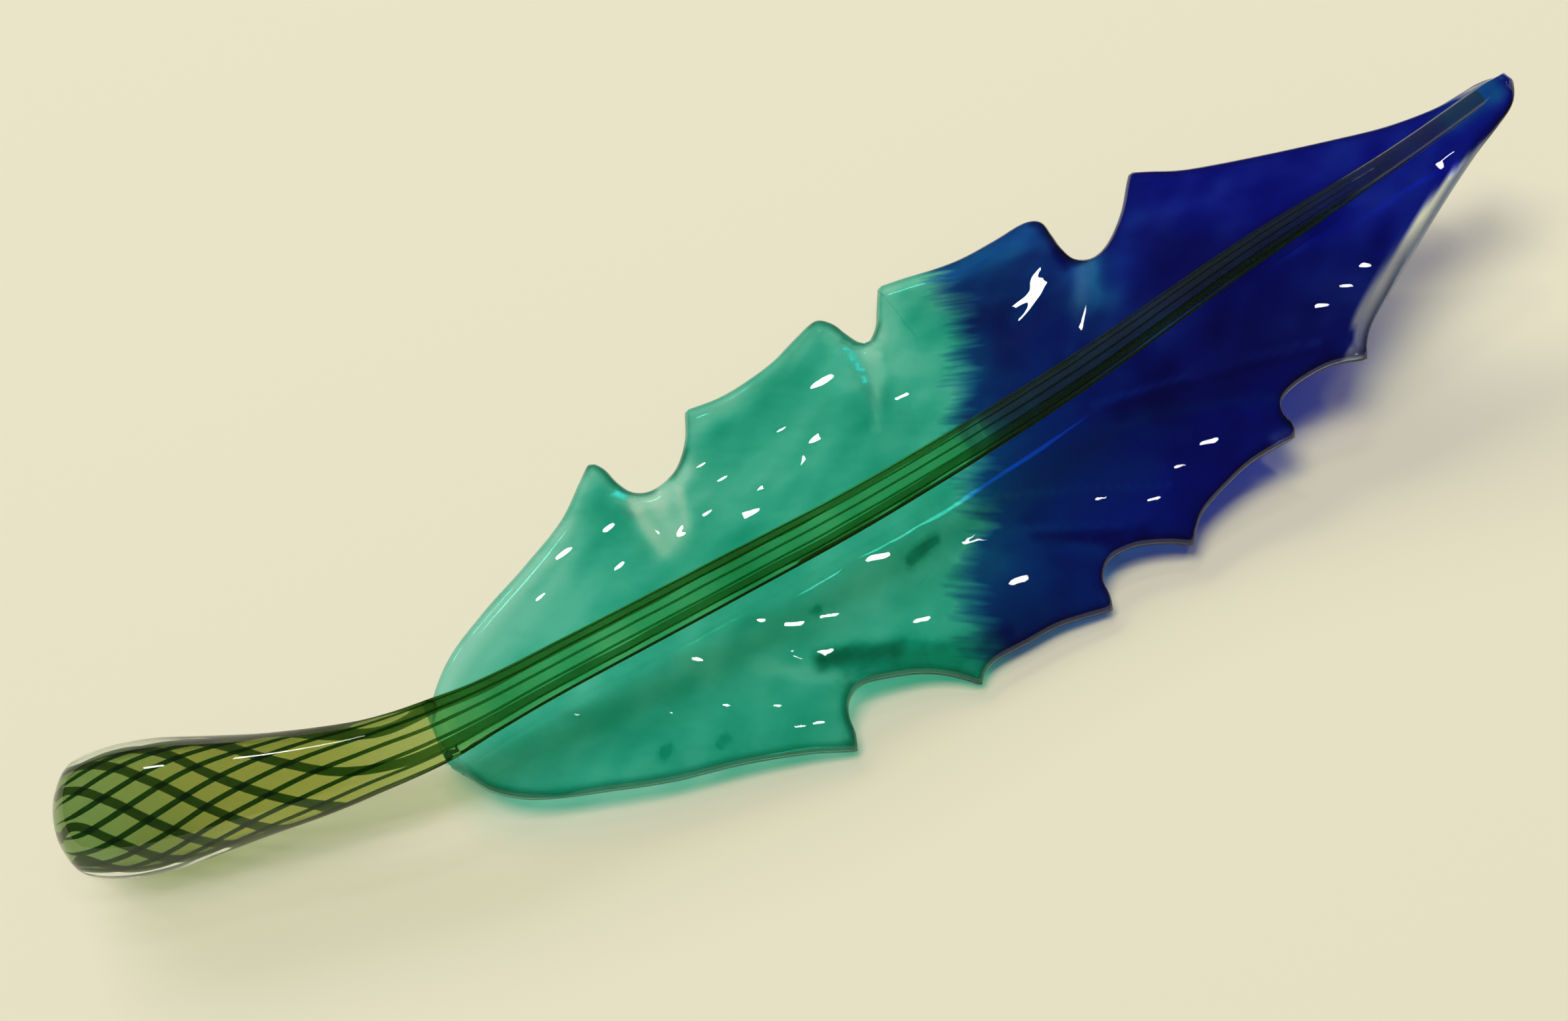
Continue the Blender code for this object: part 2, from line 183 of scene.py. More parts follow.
# Where the cobalt begins, as the distance from the stem and x.
SEAM = (
    (-26, 2.6), (-18, 3), (-12.5, 4.5), (-10.5, 6.5), (-9, 11), (-5, 13.5), (0, 15), (8, 20),
    (13, 22.5), (16.5, 26), (20, 29.5), (24, 30.6), (34, 32.5),
)

# Marks in the colour: a line of points, its half width, how much stronger the colour is there, and
# how clear the glass is. The paler, clearer lines along the ridges, some with darker lines beside
# them, are painted light and shade of the folds.
STROKES = (
    (((-23.3, 21), (-23.9, 15.5), (-24.2, 10.2)), 0.9, -0.3, 0.55),
    (((-20.5, 20), (-21.5, 15), (-22.4, 11)), 2.2, -0.2, 0.4),
    (((-17.4, 18.5), (-20.2, 12)), 0.7, -0.3, 0.4),
    (((17.7, 24.5), (14.9, 19), (8.7, 11.1)), 0.6, -0.4, 0.25),
    (((18.6, 24.0), (16.6, 19), (11, 11.5)), 0.9, 0.25, 0.0),
    (((-13.5, -16.4), (-17, -13.6), (-22, -9.5)), 0.9, -0.45, 0.3),
    (((-15.2, -12.6), (-12, -13.4), (-6, -16.2), (-1.2, -19.6)), 1.2, 1.2, 0.0),
    (((-4, -18.4), (1, -20.6), (6, -20.6)), 0.9, 0.5, 0.0),
    (((-37.4, -13.2), (-36.5, -12.8)), 0.4, 1.6, 0.0),
    (((0.6, -7.3), (4.8, -6.6)), 0.4, 1.8, 0.0),
    (((-12.9, -7), (-12.4, -6.8)), 0.4, 1.4, 0.0),
    (((-31, -15.2), (-29.5, -14.6)), 0.4, 0.9, 0.0),
    # painted light: the bright aqua marks by the two far notches, where the glass gathers light
    (((-23.2, 23.8), (-22.6, 21.9)), 0.6, -0.9, 0.0),
    (((14.6, 29), (15.2, 27.4), (16, 25.6)), 0.8, -0.9, 0.0),
    (((-46, 4), (-30, 7), (-16, 8)), 2.6, 0.22, 0.0),
    (((-44, 9), (-33, 15), (-27, 22)), 2.4, 0.14, 0.0),
    (((-14, 24), (-2, 25), (10, 28)), 2.2, 0.18, 0.0),
    (((-14, 14), (-5, 17), (6, 20)), 3.0, -0.22, 0.08),
    (((20, 16), (22, 24)), 2.4, -0.16, 0.05),
    (((-50, -6), (-30, -9), (-20, -16)), 3.0, 0.2, 0.0),
    (((-8, -6), (4, -10), (10, -14)), 3.0, -0.18, 0.05),
    (((47.3, 15.4), (41, 9.5), (35.5, 4.9)), 1.0, -0.35, 0.12),
    (((50.5, 15.6), (45, 9.5), (40, 5)), 1.4, 0.35, 0.0),
    (((41, 1), (41.5, -3), (40, -7.5)), 2.4, 0.3, 0.0),
    (((62, -13.3), (49, -8.4), (32.6, -3.2)), 0.5, -0.6, 0.06),
    (((63, -14.6), (50, -9.9), (33.5, -4.6)), 0.7, 0.4, 0.0),
    (((21.4, -9.5), (31.9, -15.1)), 0.4, -0.6, 0.05),
    (((13.5, -10.4), (26.2, -17.1)), 0.4, -0.5, 0.05),
    (((12, -11.6), (24.6, -18.6)), 0.8, 0.4, 0.0),
    (((12, 21), (24, 15), (34, 9)), 2.6, -0.3, 0.0),
    (((54, 18), (74, 10), (90, 4)), 2.6, -0.15, 0.0),
    (((49.5, -19.9), (51.6, -20.6)), 0.9, -0.4, 0.8),
    (((16, -12.8), (22.4, -16.6), (28.3, -19.6)), 0.8, 0.7, 0.0),
    (((13.9, -5.7), (23.8, -10.6), (34.3, -16.6)), 0.35, -0.7, 0.12),
    (((63.9, -15.9), (51.2, -12.6), (38.2, -8.4), (31.2, -5.4)), 0.7, 0.15, 0.0),
    (((43.5, -5), (36, -5)), 2.2, 0.3, 0.0),
    (((46, -7.6), (60, -9.6)), 1.8, -0.5, 0.0),
    (((46, 19.6), (45, 16.8)), 0.7, 0.8, 0.0),
)
# Paler, greener blue in the cobalt: a line of points, its half width and how far it goes.
SEA_STROKES = (
    (((53.5, -16.4), (47.5, -12.7), (38, -8.4), (28, -6)), 0.9, 0.8),
    (((22.3, -19.9), (20.4, -16.8), (16.9, -14), (11.2, -11), (5.8, -10.2)), 1.0, 1.0),
    (((49, 16.6), (45, 10.5), (40, 5.5)), 2.2, 0.9),
    (((17, -3), (27, -9), (33, -13)), 3.0, 0.7),
    (((36, -10), (40, -12)), 1.6, 0.5),
    (((95, 1), (102, 0.6)), 1.8, 1.0),
    (((18, 10), (28, 6), (36, 3)), 3.5, 0.6),
    (((36, 12), (44, 9)), 3.0, 0.8),
    (((19, -5), (29, -8)), 3.2, 0.8),
)
# Painted light: bright aqua painted into the film where light gathers in the glass by a notch.
SPARKS = (
    (((-24.9, 23.4), (-24.2, 21.9), (-23.6, 20.5)), 0.75),
    (((14.6, 25.8), (14.2, 22.4), (13.2, 19.4)), 0.85),
)
# Steep walls of the notches and corners, where the rim is darkened with painted shade.
WALLS = (
    ((-24.8, 30), (-23.2, 24.5), (-22.3, 21.8), (-20.8, 20.9)),
    ((15, 33.6), (16.8, 28.5), (17.2, 25.8)),
    ((18, 25.3), (19.8, 26.6)),
    ((48.5, 26), (47, 20), (47.2, 16.4)),
    ((-17.2, -22.9), (-15.8, -19.5), (-14.5, -17.6)),
    ((-16.5, 21.8), (-14, 23.6)),
    ((66.6, -17.9), (74.5, -13.2), (81, -10.2), (88, -7.3), (95, -4.9), (99.5, -3.8)),
)
# Dark places in the skin away from the rim: a line of points, its half width and how dark.
SHADES = (
    (((-15.6, -12.4), (-12.5, -13.2), (-9.5, -14.6), (-6.5, -15.6)), 0.9, 1.1),
    (((-7.5, -16.4), (-2, -18), (4, -19.8)), 0.7, 0.4),
    (((-14.6, -15.2), (-11, -16), (-7, -18)), 0.6, 0.55),
    (((0.4, -7.4), (5.2, -6.4)), 0.45, 0.8),
    # painted shade on the steep walls of the two far notches
    (((-23.6, 23.2), (-22.8, 21.8)), 0.5, 0.8),
    (((15.6, 27.6), (16.1, 25.4)), 0.5, 0.8),
)
# How wide the clear band along the near side of the last lobe is, by x.
CLEAR_BAND = (
    (50, 0.0), (63.5, 0.0), (65.5, 1.6), (68, 2.6), (74, 2.4), (82, 2.1), (90, 1.4), (97, 0.4),
    (100, 0.0), (106, 0.0),
)

# -------------------- camera, light and floor
NEAR_LAMP = (0.31, 0.18, 0.93)
FAR_LAMP = (0.10, 0.64, 0.76)
LAMP_DISTANCE = 1.5
# Area lights that face the feather: their directions, distances and sizes in metres, powers, and
# whether the glass mirrors them.
LIGHTS = (
    ("key", (-0.25, 0.27, 0.93), 8.0, (3.8, 3.8), 405, False),
    ("low_window", (-0.12, 0.87, 0.47), 8.0, (5.6, 2.0), 370, False),
    ("near_lamp", NEAR_LAMP, LAMP_DISTANCE, (0.20, 0.10), 1.6, True),
    ("far_lamp", FAR_LAMP, LAMP_DISTANCE, (0.20, 0.10), 1.6, True),
)
VIEW_AZIMUTH = math.radians(-27.35)
VIEW_ELEVATION = math.radians(57)
VIEW_DISTANCE = 273.2
VIEW_AIM = (-9.3, -6.6, 8.0)
LENS_MM = 50
SENSOR_MM = 36
LIGHT_COLOUR = (1.0, 0.98, 0.94)
ROOM_COLOUR, ROOM_STRENGTH = (1.0, 0.97, 0.92), 0.07
FLOOR_PAINT = (0.80, 0.77, 0.60)
FLOOR_CORNERS = ((-4, -4), (4, -4), (4, 4), (-4, 4))

# -------------------- the glass
GLASS_IOR = 1.5
CLEAR_TINT = (0.96, 0.985, 0.965)
CLEAR_CAST = (0.94, 0.955, 0.94)  # a cast colours the light that a glass lets on to other things
# The stem between these stretches of x mirrors nothing.
DULL_START, DULL_END = (-84, -62), (74, 80)
# painted shade: the dark of the vane's thick rounded edge, teal and then blue
RIM_SHADE_TEAL, RIM_SHADE_BLUE = (0.05, 0.33, 0.26), (0.06, 0.08, 0.22)  # the vane's thick rounded edge
# The films: tints of one thickness, the powers of them where a film is lightest and darkest, the
# body colours and how much of them shows.
TEAL, COBALT, SEA = (0.37, 0.87, 0.83), (0.055, 0.12, 0.64), (0.035, 0.26, 0.60)
TEAL_POWERS, COBALT_POWERS = (0.5, 2.4), (0.7, 1.5)
TEAL_BODY, COBALT_BODY = (0.10, 0.50, 0.38), (0.01, 0.03, 0.30)
TEAL_CLOUD, COBALT_CLOUD = 0.05, 0.04
# painted light: the bright aqua by the far notches, and how much of it shows
PAINTED_SPARK_COLOUR, SPARK_CLOUD = (0.10, 0.95, 0.90), 0.85
BARE_TINT = (0.96, 0.98, 0.96)
SEA_REACH = (8, 34)  # past the seam, the sea blue turns to cobalt between these
DRIFT_SCALE = (0.0128, 0.008, 0.008)
FINE_STROKE, BROAD_STROKE = (0.007, 0.0008, 0.02), (0.010, 0.003, 0.02)
SEAM_STROKE_MM, SEAM_SOFT = 8.5, (-2.4, 3.0)
# The core, from the butt to the tip, and its thick sides in the handle and the stem.
CORE_TINTS = ((0.47, 0.60, 0.35), (0.61, 0.64, 0.30), (0.77, 0.87, 0.64), (0.42, 0.62, 0.66))
CORE_TURNS = ((-99, -88), (-75, -45), (45, 92))  # where one tint gives way to the next, by x
CORE_SIDES, CORE_SIDES_TURN = ((0.20, 0.26, 0.12), (0.48, 0.62, 0.42)), (-70, -52)
CORE_CAST, CORE_BODY, CORE_CLOUD = (0.80, 0.86, 0.62), (0.35, 0.42, 0.08), 0.05
# The threads, in the handle and drawn out along the stem.
THREAD_MIDDLES = ((0.24, 0.44, 0.20), (0.50, 0.68, 0.50))
THREAD_SIDES = ((0.66, 0.80, 0.56), (0.88, 0.96, 0.86))
THREAD_CAST, THREAD_BODY = (0.74, 0.84, 0.66), (0.010, 0.045, 0.012)
THREAD_CLOUDS = (0.25, 0.10)
THREADS_DRAWN = (-72, -56)


def curve(points, xs, column=1):
    """Smooth curve through a table of points, read at every x of an array."""
    table = np.array(points, float)
    knots, values = table[:, 0], table[:, column]
    slopes = np.empty(len(knots))
    slopes[1:-1] = (values[2:] - values[:-2]) / (knots[2:] - knots[:-2])
    slopes[0] = (values[1] - values[0]) / (knots[1] - knots[0])
    slopes[-1] = (values[-1] - values[-2]) / (knots[-1] - knots[-2])
    i = np.clip(np.searchsorted(knots, xs) - 1, 0, len(knots) - 2)
    width = knots[i + 1] - knots[i]
    t = (xs - knots[i]) / width
    rise = values[i + 1] - values[i]
    a, b = slopes[i] * width, slopes[i + 1] * width
    return values[i] + t * (a + t * (3 * rise - 2 * a - b + t * (a + b - 2 * rise)))


def ramp(values, low, high):
    """0 below low, 1 above high, and smooth between."""
    t = np.clip((np.asarray(values, float) - low) / (high - low), 0, 1)
    return t * t * (3 - 2 * t)


def axis_at(xs):
    """Points of the stem's axis."""
    xs = np.asarray(xs, float)
    return np.stack([xs, curve(STEM_AXIS, xs, 1), curve(STEM_AXIS, xs, 2)], -1)


def frames_at(xs):
    """The stem's side and top directions."""
    xs = np.asarray(xs, float)
    tangent = axis_at(xs + 0.5) - axis_at(xs - 0.5)
    tangent /= np.linalg.norm(tangent, axis=-1, keepdims=True)
    side = np.cross([0, 0, 1.0], tangent)
    side /= np.linalg.norm(side, axis=-1, keepdims=True)
    return side, np.cross(tangent, side)


def stem_points(xs, radii, angles):
    """Points round the stem: one for each x, radius and angle, where a quarter turn is its top."""
    side, top = frames_at(xs)
    reach = np.asarray(radii, float)[..., None]
    angles = np.asarray(angles, float)[..., None]
    return axis_at(xs) + reach * (np.cos(angles) * side + np.sin(angles) * top)


def underside(xs, ws):
    """Height of the vane's underside at x and the distance from the stem."""
    slope = np.where(ws > 0, math.tan(FAR_SLOPE), math.tan(NEAR_SLOPE))
    fall = slope * (np.hypot(ws, RIDGE_WIDTH) - RIDGE_WIDTH)
    return axis_at(xs)[..., 2] - curve(STEM_RADIUS, xs) - VANE_GAP - VANE_THICK - fall


def vane_points(xs, ws, heights):
    """Points of the vane, from x, the distance from the stem, and the height."""
    side, _ = frames_at(xs)
    points = axis_at(xs) + side * np.asarray(ws, float)[..., None]
    points[..., 2] = heights
    return points


def frame_shift():
    """From design coordinates to the frame's: the vane's corners are points of its CAD node."""
    corners = np.array([run[-1] for run in FAR_RUNS + NEAR_RUNS], float)
    points = vane_points(corners[:, 0], corners[:, 1], underside(corners[:, 0], corners[:, 1]))
    low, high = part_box("vane_base")
    shift = (high.x / MM - points[:, 0].max(), low.y / MM - points[:, 1].min())
    return np.array([*shift, low.z / MM - points[:, 2].min()])


SHIFT = frame_shift()


# -------------------- materials
def new_material(name):
    """A material, and its empty node tree."""
    mat = bpy.data.materials.new(name)
    mat.use_nodes = True
    mat.node_tree.nodes.clear()
    return mat, mat.node_tree


def add_node(tree, kind, values, **settings):
    """A new node with its settings. Its inputs, by name or place, get numbers, colours, or what
    another node puts out, which is its first output where only the node is given."""
    node = tree.nodes.new("ShaderNode" + kind)
    for name, setting in settings.items():
        setattr(node, name, setting)
    for key, value in values.items():
        socket = node.inputs[key]
        if isinstance(value, bpy.types.Node):
            value = value.outputs[0]
        if isinstance(value, bpy.types.NodeSocket):
            tree.links.new(value, socket)
        else:
            socket.default_value = (*value, 1) if socket.type == "RGBA" else value
    return node


def math_node(tree, operation, a, b, clamp=False):
    return add_node(tree, "Math", {0: a, 1: b}, operation=operation, use_clamp=clamp)


def straight_rays(tree):
    """1 for the rays that carry lamps' and the floor's light: glass lets those straight through."""
    path = add_node(tree, "LightPath", {}).outputs
    return math_node(tree, "MAXIMUM", path["Is Shadow Ray"], path["Is Diffuse Ray"])


def mix_shaders(tree, factor, first, second):
    return add_node(tree, "MixShader", {0: factor, 1: first, 2: second})


def show(tree, shader):
    add_node(tree, "OutputMaterial", {"Surface": shader})


def see_through(tree, colour=(1, 1, 1), cast=None):
    """A face that tints what is seen through it and doesn't bend it. The light that it lets onto
    other things may have a colour of its own, cast."""
    sight = add_node(tree, "BsdfRefraction", {"IOR": 1.0, "Roughness": 0, "Color": colour})
    light = add_node(tree, "BsdfTransparent", {"Color": cast or colour})
    return mix_shaders(tree, straight_rays(tree), sight, light)


def clear_skin(name, shade=None, dull_stem=False):
    """Clear glass, whose base colour may come from nodes. Along the stem it may mirror nothing."""
    mat, tree = new_material(name)
    glass = {"Roughness": 0, "IOR": GLASS_IOR}
    tint = shade(tree) if shade else CLEAR_TINT
    values = {**glass, "Base Color": tint, "Transmission Weight": 1}
    sight = add_node(tree, "BsdfPrincipled", values)
    if dull_stem:
        bend = add_node(tree, "BsdfRefraction", {**glass, "Color": CLEAR_TINT})
        ends = (along_stem(tree, *DULL_START), along_stem(tree, *DULL_END))
        sight = mix_shaders(tree, math_node(tree, "SUBTRACT", *ends), sight, bend)
    light = add_node(tree, "BsdfTransparent", {"Color": CLEAR_CAST})
    show(tree, mix_shaders(tree, straight_rays(tree), sight, light))
    return mat


def object_coords(tree, scale, turn=0.0):
    """Object coordinates, turned about Z and stretched."""
    place = add_node(tree, "TexCoord", {}).outputs["Object"]
    values = {"Vector": place, "Rotation": (0, 0, turn), "Scale": scale}
    return add_node(tree, "Mapping", values, vector_type="TEXTURE")


def noise_value(tree, scale, detail=3.0, rough=0.5):
    """Noise from 0 to 1, turned to the line of sight and stretched."""
    vector = object_coords(tree, scale, VIEW_AZIMUTH)
    values = {"Vector": vector, "Scale": 1, "Detail": detail, "Roughness": rough}
    return add_node(tree, "TexNoise", values).outputs["Fac"]


def map_range(tree, value, from_min, from_max, to_min=0, to_max=1):
    values = {0: value, 1: from_min, 2: from_max, 3: to_min, 4: to_max}
    return add_node(tree, "MapRange", values)


def mix_colour(tree, factor, a, b):
    return add_node(tree, "Mix", {0: factor, 6: a, 7: b}, data_type="RGBA").outputs[2]


def milky(tree, body):
    """The little light that a colour scatters back, from either side."""
    sides = [add_node(tree, kind, {"Color": body}) for kind in ("BsdfDiffuse", "BsdfTranslucent")]
    return mix_shaders(tree, 0.5, *sides)


def along_stem(tree, start_mm, end_mm):
    """0 before one x and 1 past another."""
    split = add_node(tree, "SeparateXYZ", {0: object_coords(tree, (1, 1, 1))})
    return map_range(tree, split, start_mm * MM, end_mm * MM)


def turned_away(tree, start, end, most=1):
    """Grows from 0 in the middle of a rod towards its sides."""
    weight = add_node(tree, "LayerWeight", {"Blend": 0.5})
    return map_range(tree, weight.outputs["Facing"], start, end, 0, most)


def thread_material():
    """Dark green glass thread, thinner and so lighter towards its sides, and drawn out paler along
    the stem."""
    mat, tree = new_material("thread_tint")
    drawn = along_stem(tree, *THREADS_DRAWN)
    shades = [mix_colour(tree, drawn, *pair) for pair in (THREAD_MIDDLES, THREAD_SIDES)]
    tint = mix_colour(tree, turned_away(tree, 0.25, 0.95), *shades)
    through = see_through(tree, tint, THREAD_CAST)
    cloud = map_range(tree, drawn, 0, 1, *THREAD_CLOUDS)
    show(tree, mix_shaders(tree, cloud, through, milky(tree, THREAD_BODY)))
    return mat


def core_material():
    """The core: yellow-green, and bluer where it thins out towards the tip."""
    mat, tree = new_material("core_tint")
    tint = CORE_TINTS[0]
    for turn, following in zip(CORE_TURNS, CORE_TINTS[1:]):
        tint = mix_colour(tree, along_stem(tree, *turn), tint, following)
    thick = mix_colour(tree, along_stem(tree, *CORE_SIDES_TURN), *CORE_SIDES)
    tint = mix_colour(tree, turned_away(tree, 0.45, 0.80, 0.85), tint, thick)
    through = see_through(tree, tint, CORE_CAST)
    show(tree, mix_shaders(tree, CORE_CLOUD, through, milky(tree, CORE_BODY)))
    return mat


def attribute_value(tree, name):
    return add_node(tree, "Attribute", {}, attribute_name=name).outputs["Fac"]


def strengths(tree, strength, colour, powers):
    """A tint that gets stronger from 0 to 1."""
    return mix_colour(tree, strength, *(tuple(c**power for c in colour) for power in powers))


def seam_cover(tree):
    """How much of the colour is cobalt, past a seam of fine brush strokes."""
    fine, broad = noise_value(tree, FINE_STROKE), noise_value(tree, BROAD_STROKE)
    stroke = math_node(tree, "SUBTRACT", math_node(tree, "ADD", fine, broad), 1.0)
    stroke = math_node(tree, "MULTIPLY", stroke, SEAM_STROKE_MM)
    place = math_node(tree, "ADD", attribute_value(tree, "past_seam"), stroke)
    return map_range(tree, place, *SEAM_SOFT)


def film_material(name, cloud, has_seam):
    """A colour film: teal, and past the seam cobalt that starts in brush strokes. Its strength
    drifts slowly, and it is clear where the film stops short of the edge."""
    mat, tree = new_material(name)
    drift = map_range(tree, noise_value(tree, DRIFT_SCALE, 4.0, 0.55), 0.3, 0.7)
    drift = math_node(tree, "MULTIPLY", drift, 0.5)
    strength = math_node(tree, "ADD", attribute_value(tree, "strength"), drift)
    strength = math_node(tree, "SUBTRACT", strength, 0.25, clamp=True)
    tint = strengths(tree, strength, TEAL, TEAL_POWERS)
    body = TEAL_BODY
    if has_seam:
        cover = seam_cover(tree)
        farther = map_range(tree, attribute_value(tree, "past_seam"), *SEA_REACH)
        away = math_node(tree, "SUBTRACT", 1.0, attribute_value(tree, "sea"))
        farther = math_node(tree, "MULTIPLY", farther, away)
        blues = [strengths(tree, strength, blue, COBALT_POWERS) for blue in (SEA, COBALT)]
        tint = mix_colour(tree, cover, tint, mix_colour(tree, farther, *blues))
        body = mix_colour(tree, cover, TEAL_BODY, COBALT_BODY)
    # painted light: where the sparks are, the film's body turns bright aqua and shows more
    spark, clear = attribute_value(tree, "spark"), attribute_value(tree, "clear")
    through = see_through(tree, mix_colour(tree, clear, tint, BARE_TINT))
    body = milky(tree, mix_colour(tree, spark, body, PAINTED_SPARK_COLOUR))
    cloud = map_range(tree, spark, 0, 1, cloud, SPARK_CLOUD)
    cloud = math_node(tree, "MULTIPLY", math_node(tree, "SUBTRACT", 1.0, clear), cloud)
    show(tree, mix_shaders(tree, cloud, through, body))
    return mat


def rim_shade(tree):
    """Base colour of the vane's skin: painted shade darkens its thick rounded edge, teal and then
    blue.
    """
    blue = map_range(tree, attribute_value(tree, "past_seam"), -1.5, 1.5)
    dark = mix_colour(tree, blue, RIM_SHADE_TEAL, RIM_SHADE_BLUE)
    return mix_colour(tree, attribute_value(tree, "rim"), CLEAR_TINT, dark)


# -------------------- meshes
def add_object(name, data):
    obj = bpy.data.objects.new(name, data)
    bpy.context.scene.collection.objects.link(obj)
    return obj


def add_piece(name, points, faces, mats, slots, nodes_replaced):
    """A smooth mesh piece from design points, that rides on the one body."""
    mesh = bpy.data.meshes.new(name)
    mesh.from_pydata(((np.asarray(points) + SHIFT) * MM).tolist(), [], faces)
    for mat in mats:
        mesh.materials.append(mat)
    if slots is not None:
        mesh.polygons.foreach_set("material_index", slots)
    mesh.polygons.foreach_set("use_smooth", [True] * len(mesh.polygons))
    mesh.update()
    obj = add_object(name, mesh)
    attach(obj, "root")
    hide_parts(*nodes_replaced)
    return obj


def loft(rings):
    """Points and faces of a closed skin over equal rings, with a fan at both ends."""
    count, sides = len(rings), len(rings[0])
    points = np.concatenate([*rings, [rings[0].mean(0)], [rings[-1].mean(0)]])
    faces = []
    for r in range(count - 1):
        for i in range(sides):
            j = (i + 1) % sides
            a, b = r * sides, (r + 1) * sides
            faces.append((a + i, a + j, b + j, b + i))
    first, last = count * sides, count * sides + 1
    for i in range(sides):
        j = (i + 1) % sides
        faces.append((first, j, i))
        faces.append((last, (count - 1) * sides + i, (count - 1) * sides + j))
    return points, faces


def bare_angle(xs):
    """How far round its side the stem is bare: it sinks into the vane at the tip."""
    return FUSED_ANGLE + (SINK_ANGLE - FUSED_ANGLE) * ramp(xs, SINK_FROM_X, SINK_TO_X)


BUTT_STATIONS = (-103, -102.9, -102.8, -102.6, -102.4, -102.1, -101.7, -101.3, -100.8, -100.3)
STATION_STEP = 0.8
STEM_STATIONS = np.array([*BUTT_STATIONS, *np.arange(-99.6, 103.01, STATION_STEP)])


def build_skin(glass, fused):
    """The clear skin of the handle and the stem."""
    radii = curve(SKIN_RADIUS, STEM_STATIONS)
    bare = bare_angle(STEM_STATIONS)
    rings, slots = [], []
    for x, radius, low in zip(STEM_STATIONS, radii, bare):
        over = np.linspace(low, math.pi - low, BARE_SIDES + 1)
        under = np.linspace(math.pi - low, 2 * math.pi + low, SKIN_SIDES - BARE_SIDES + 1)[1:-1]
        angles = np.concatenate([over, under])
        count = len(angles)
        rings.append(stem_points(np.full(count, x), np.full(count, radius), angles))
    points, faces = loft(rings)
    for x in STEM_STATIONS[:-1]:
        slots += [int(i >= BARE_SIDES and x >= FUSED_FROM_X) for i in range(SKIN_SIDES)]
    slots += [0, 1] * SKIN_SIDES
    add_piece("clear_skin", points, faces, [glass, fused], slots, ["handle_casing"])


def core_radius(xs):
    return curve(SKIN_RADIUS, xs) * curve(CORE_SHARE, xs)


def build_core(mat):
    """The yellow-green core inside the skin."""
    xs = np.concatenate([np.linspace(CORE_ENDS[0], -99, 6), np.arange(-98, CORE_ENDS[1], 1.2)])
    angles = np.linspace(0, 2 * math.pi, CORE_FACETS, endpoint=False)
    rounding = np.sqrt(np.clip(1 - (1 - np.clip((xs - CORE_ENDS[0]) / 2.2, 0, 1)) ** 2, 0.06, 1))
    radii = core_radius(xs) * rounding
    spread = np.ones(CORE_FACETS)
    rings = [stem_points(x * spread, r * spread, angles) for x, r in zip(xs, radii)]
    points, faces = loft(rings)
    add_piece("stem_core_glass", points, faces, [mat], None, ["stem_core"])


def thread_angle(xs):
    run = np.clip((THREAD_STRAIGHT_X - xs) / (THREAD_STRAIGHT_X - THREAD_ENDS[0]), 0, 1)
    return THREAD_TURN * run * run * (1.5 - 0.5 * run)


def build_threads(mat):
    """The dark green threads round the core."""
    xs = np.concatenate([np.arange(THREAD_ENDS[0], -60, 0.6), np.arange(-60, THREAD_ENDS[1], 1.5)])
    around = np.linspace(0, 2 * math.pi, THREAD_FACETS, endpoint=False)
    side, top = frames_at(xs)
    for number in range(THREAD_COUNT):
        angle = 2 * math.pi * (number + 0.5) / THREAD_COUNT + thread_angle(xs)
        wobble = [0.03 * noise.noise(Vector((x / 7, number * 3.7, 0.0))) for x in xs]
        angle = angle + np.array(wobble)
        reach = core_radius(xs)
        out = np.cos(angle)[:, None] * side + np.sin(angle)[:, None] * top
        cross = -np.sin(angle)[:, None] * side + np.cos(angle)[:, None] * top
        wide = reach * (2 * math.pi / THREAD_COUNT) * np.interp(xs, *THREAD_WIDTH)
        deep = np.minimum(wide * 0.6, THREAD_DEEP)
        taper = np.clip((THREAD_ENDS[1] - xs) / 20, 0.15, 1)
        taper = taper * np.clip((xs - THREAD_ENDS[0]) / 2, 0.3, 1)
        centres = axis_at(xs) + reach[:, None] * out
        rings = [
            c + (w * t) * np.cos(around)[:, None] * cr + (d * t) * np.sin(around)[:, None] * o
            for c, w, d, t, cr, o in zip(centres, wide, deep, taper, cross, out)
        ]
        points, faces = loft(rings)
        name = f"thread_{number + 1:02d}"
        add_piece(name, points, faces, [mat], None, [f"cane_{number + 1:02d}"])


# -------------------- the vane
def smooth_run(points, step):
    """Points every step along a smooth curve through the given ones, without the last."""
    knots = np.array(points, float)
    before = np.vstack([2 * knots[0] - knots[1], knots[:-1]])
    after = np.vstack([knots[1:], 2 * knots[-1] - knots[-2]])
    tangents = (after - before) / 2
    out = []
    for i in range(len(knots) - 1):
        a, b = knots[i], knots[i + 1]
        pieces = max(2, round(float(np.linalg.norm(b - a)) / step))
        for k in range(pieces):
            t = k / pieces
            h1, h2 = 2 * t**3 - 3 * t**2 + 1, t**3 - 2 * t**2 + t
            out.append(h1 * a + h2 * tangents[i] + (1 - h1) * b + (t**3 - t**2) * tangents[i + 1])
    return out


def fine_outline():
    """The vane's closed edge, smooth through its base and its tip."""
    base = NEAR_RUNS[0][::-1] + FAR_RUNS[0][1:]
    tip = FAR_RUNS[-1] + NEAR_RUNS[-1][-2::-1]
    around = [base, *FAR_RUNS[1:-1], tip, *(run[::-1] for run in NEAR_RUNS[-2:0:-1])]
    return np.array([p for run in around for p in smooth_run(run, OUTLINE_STEP)])


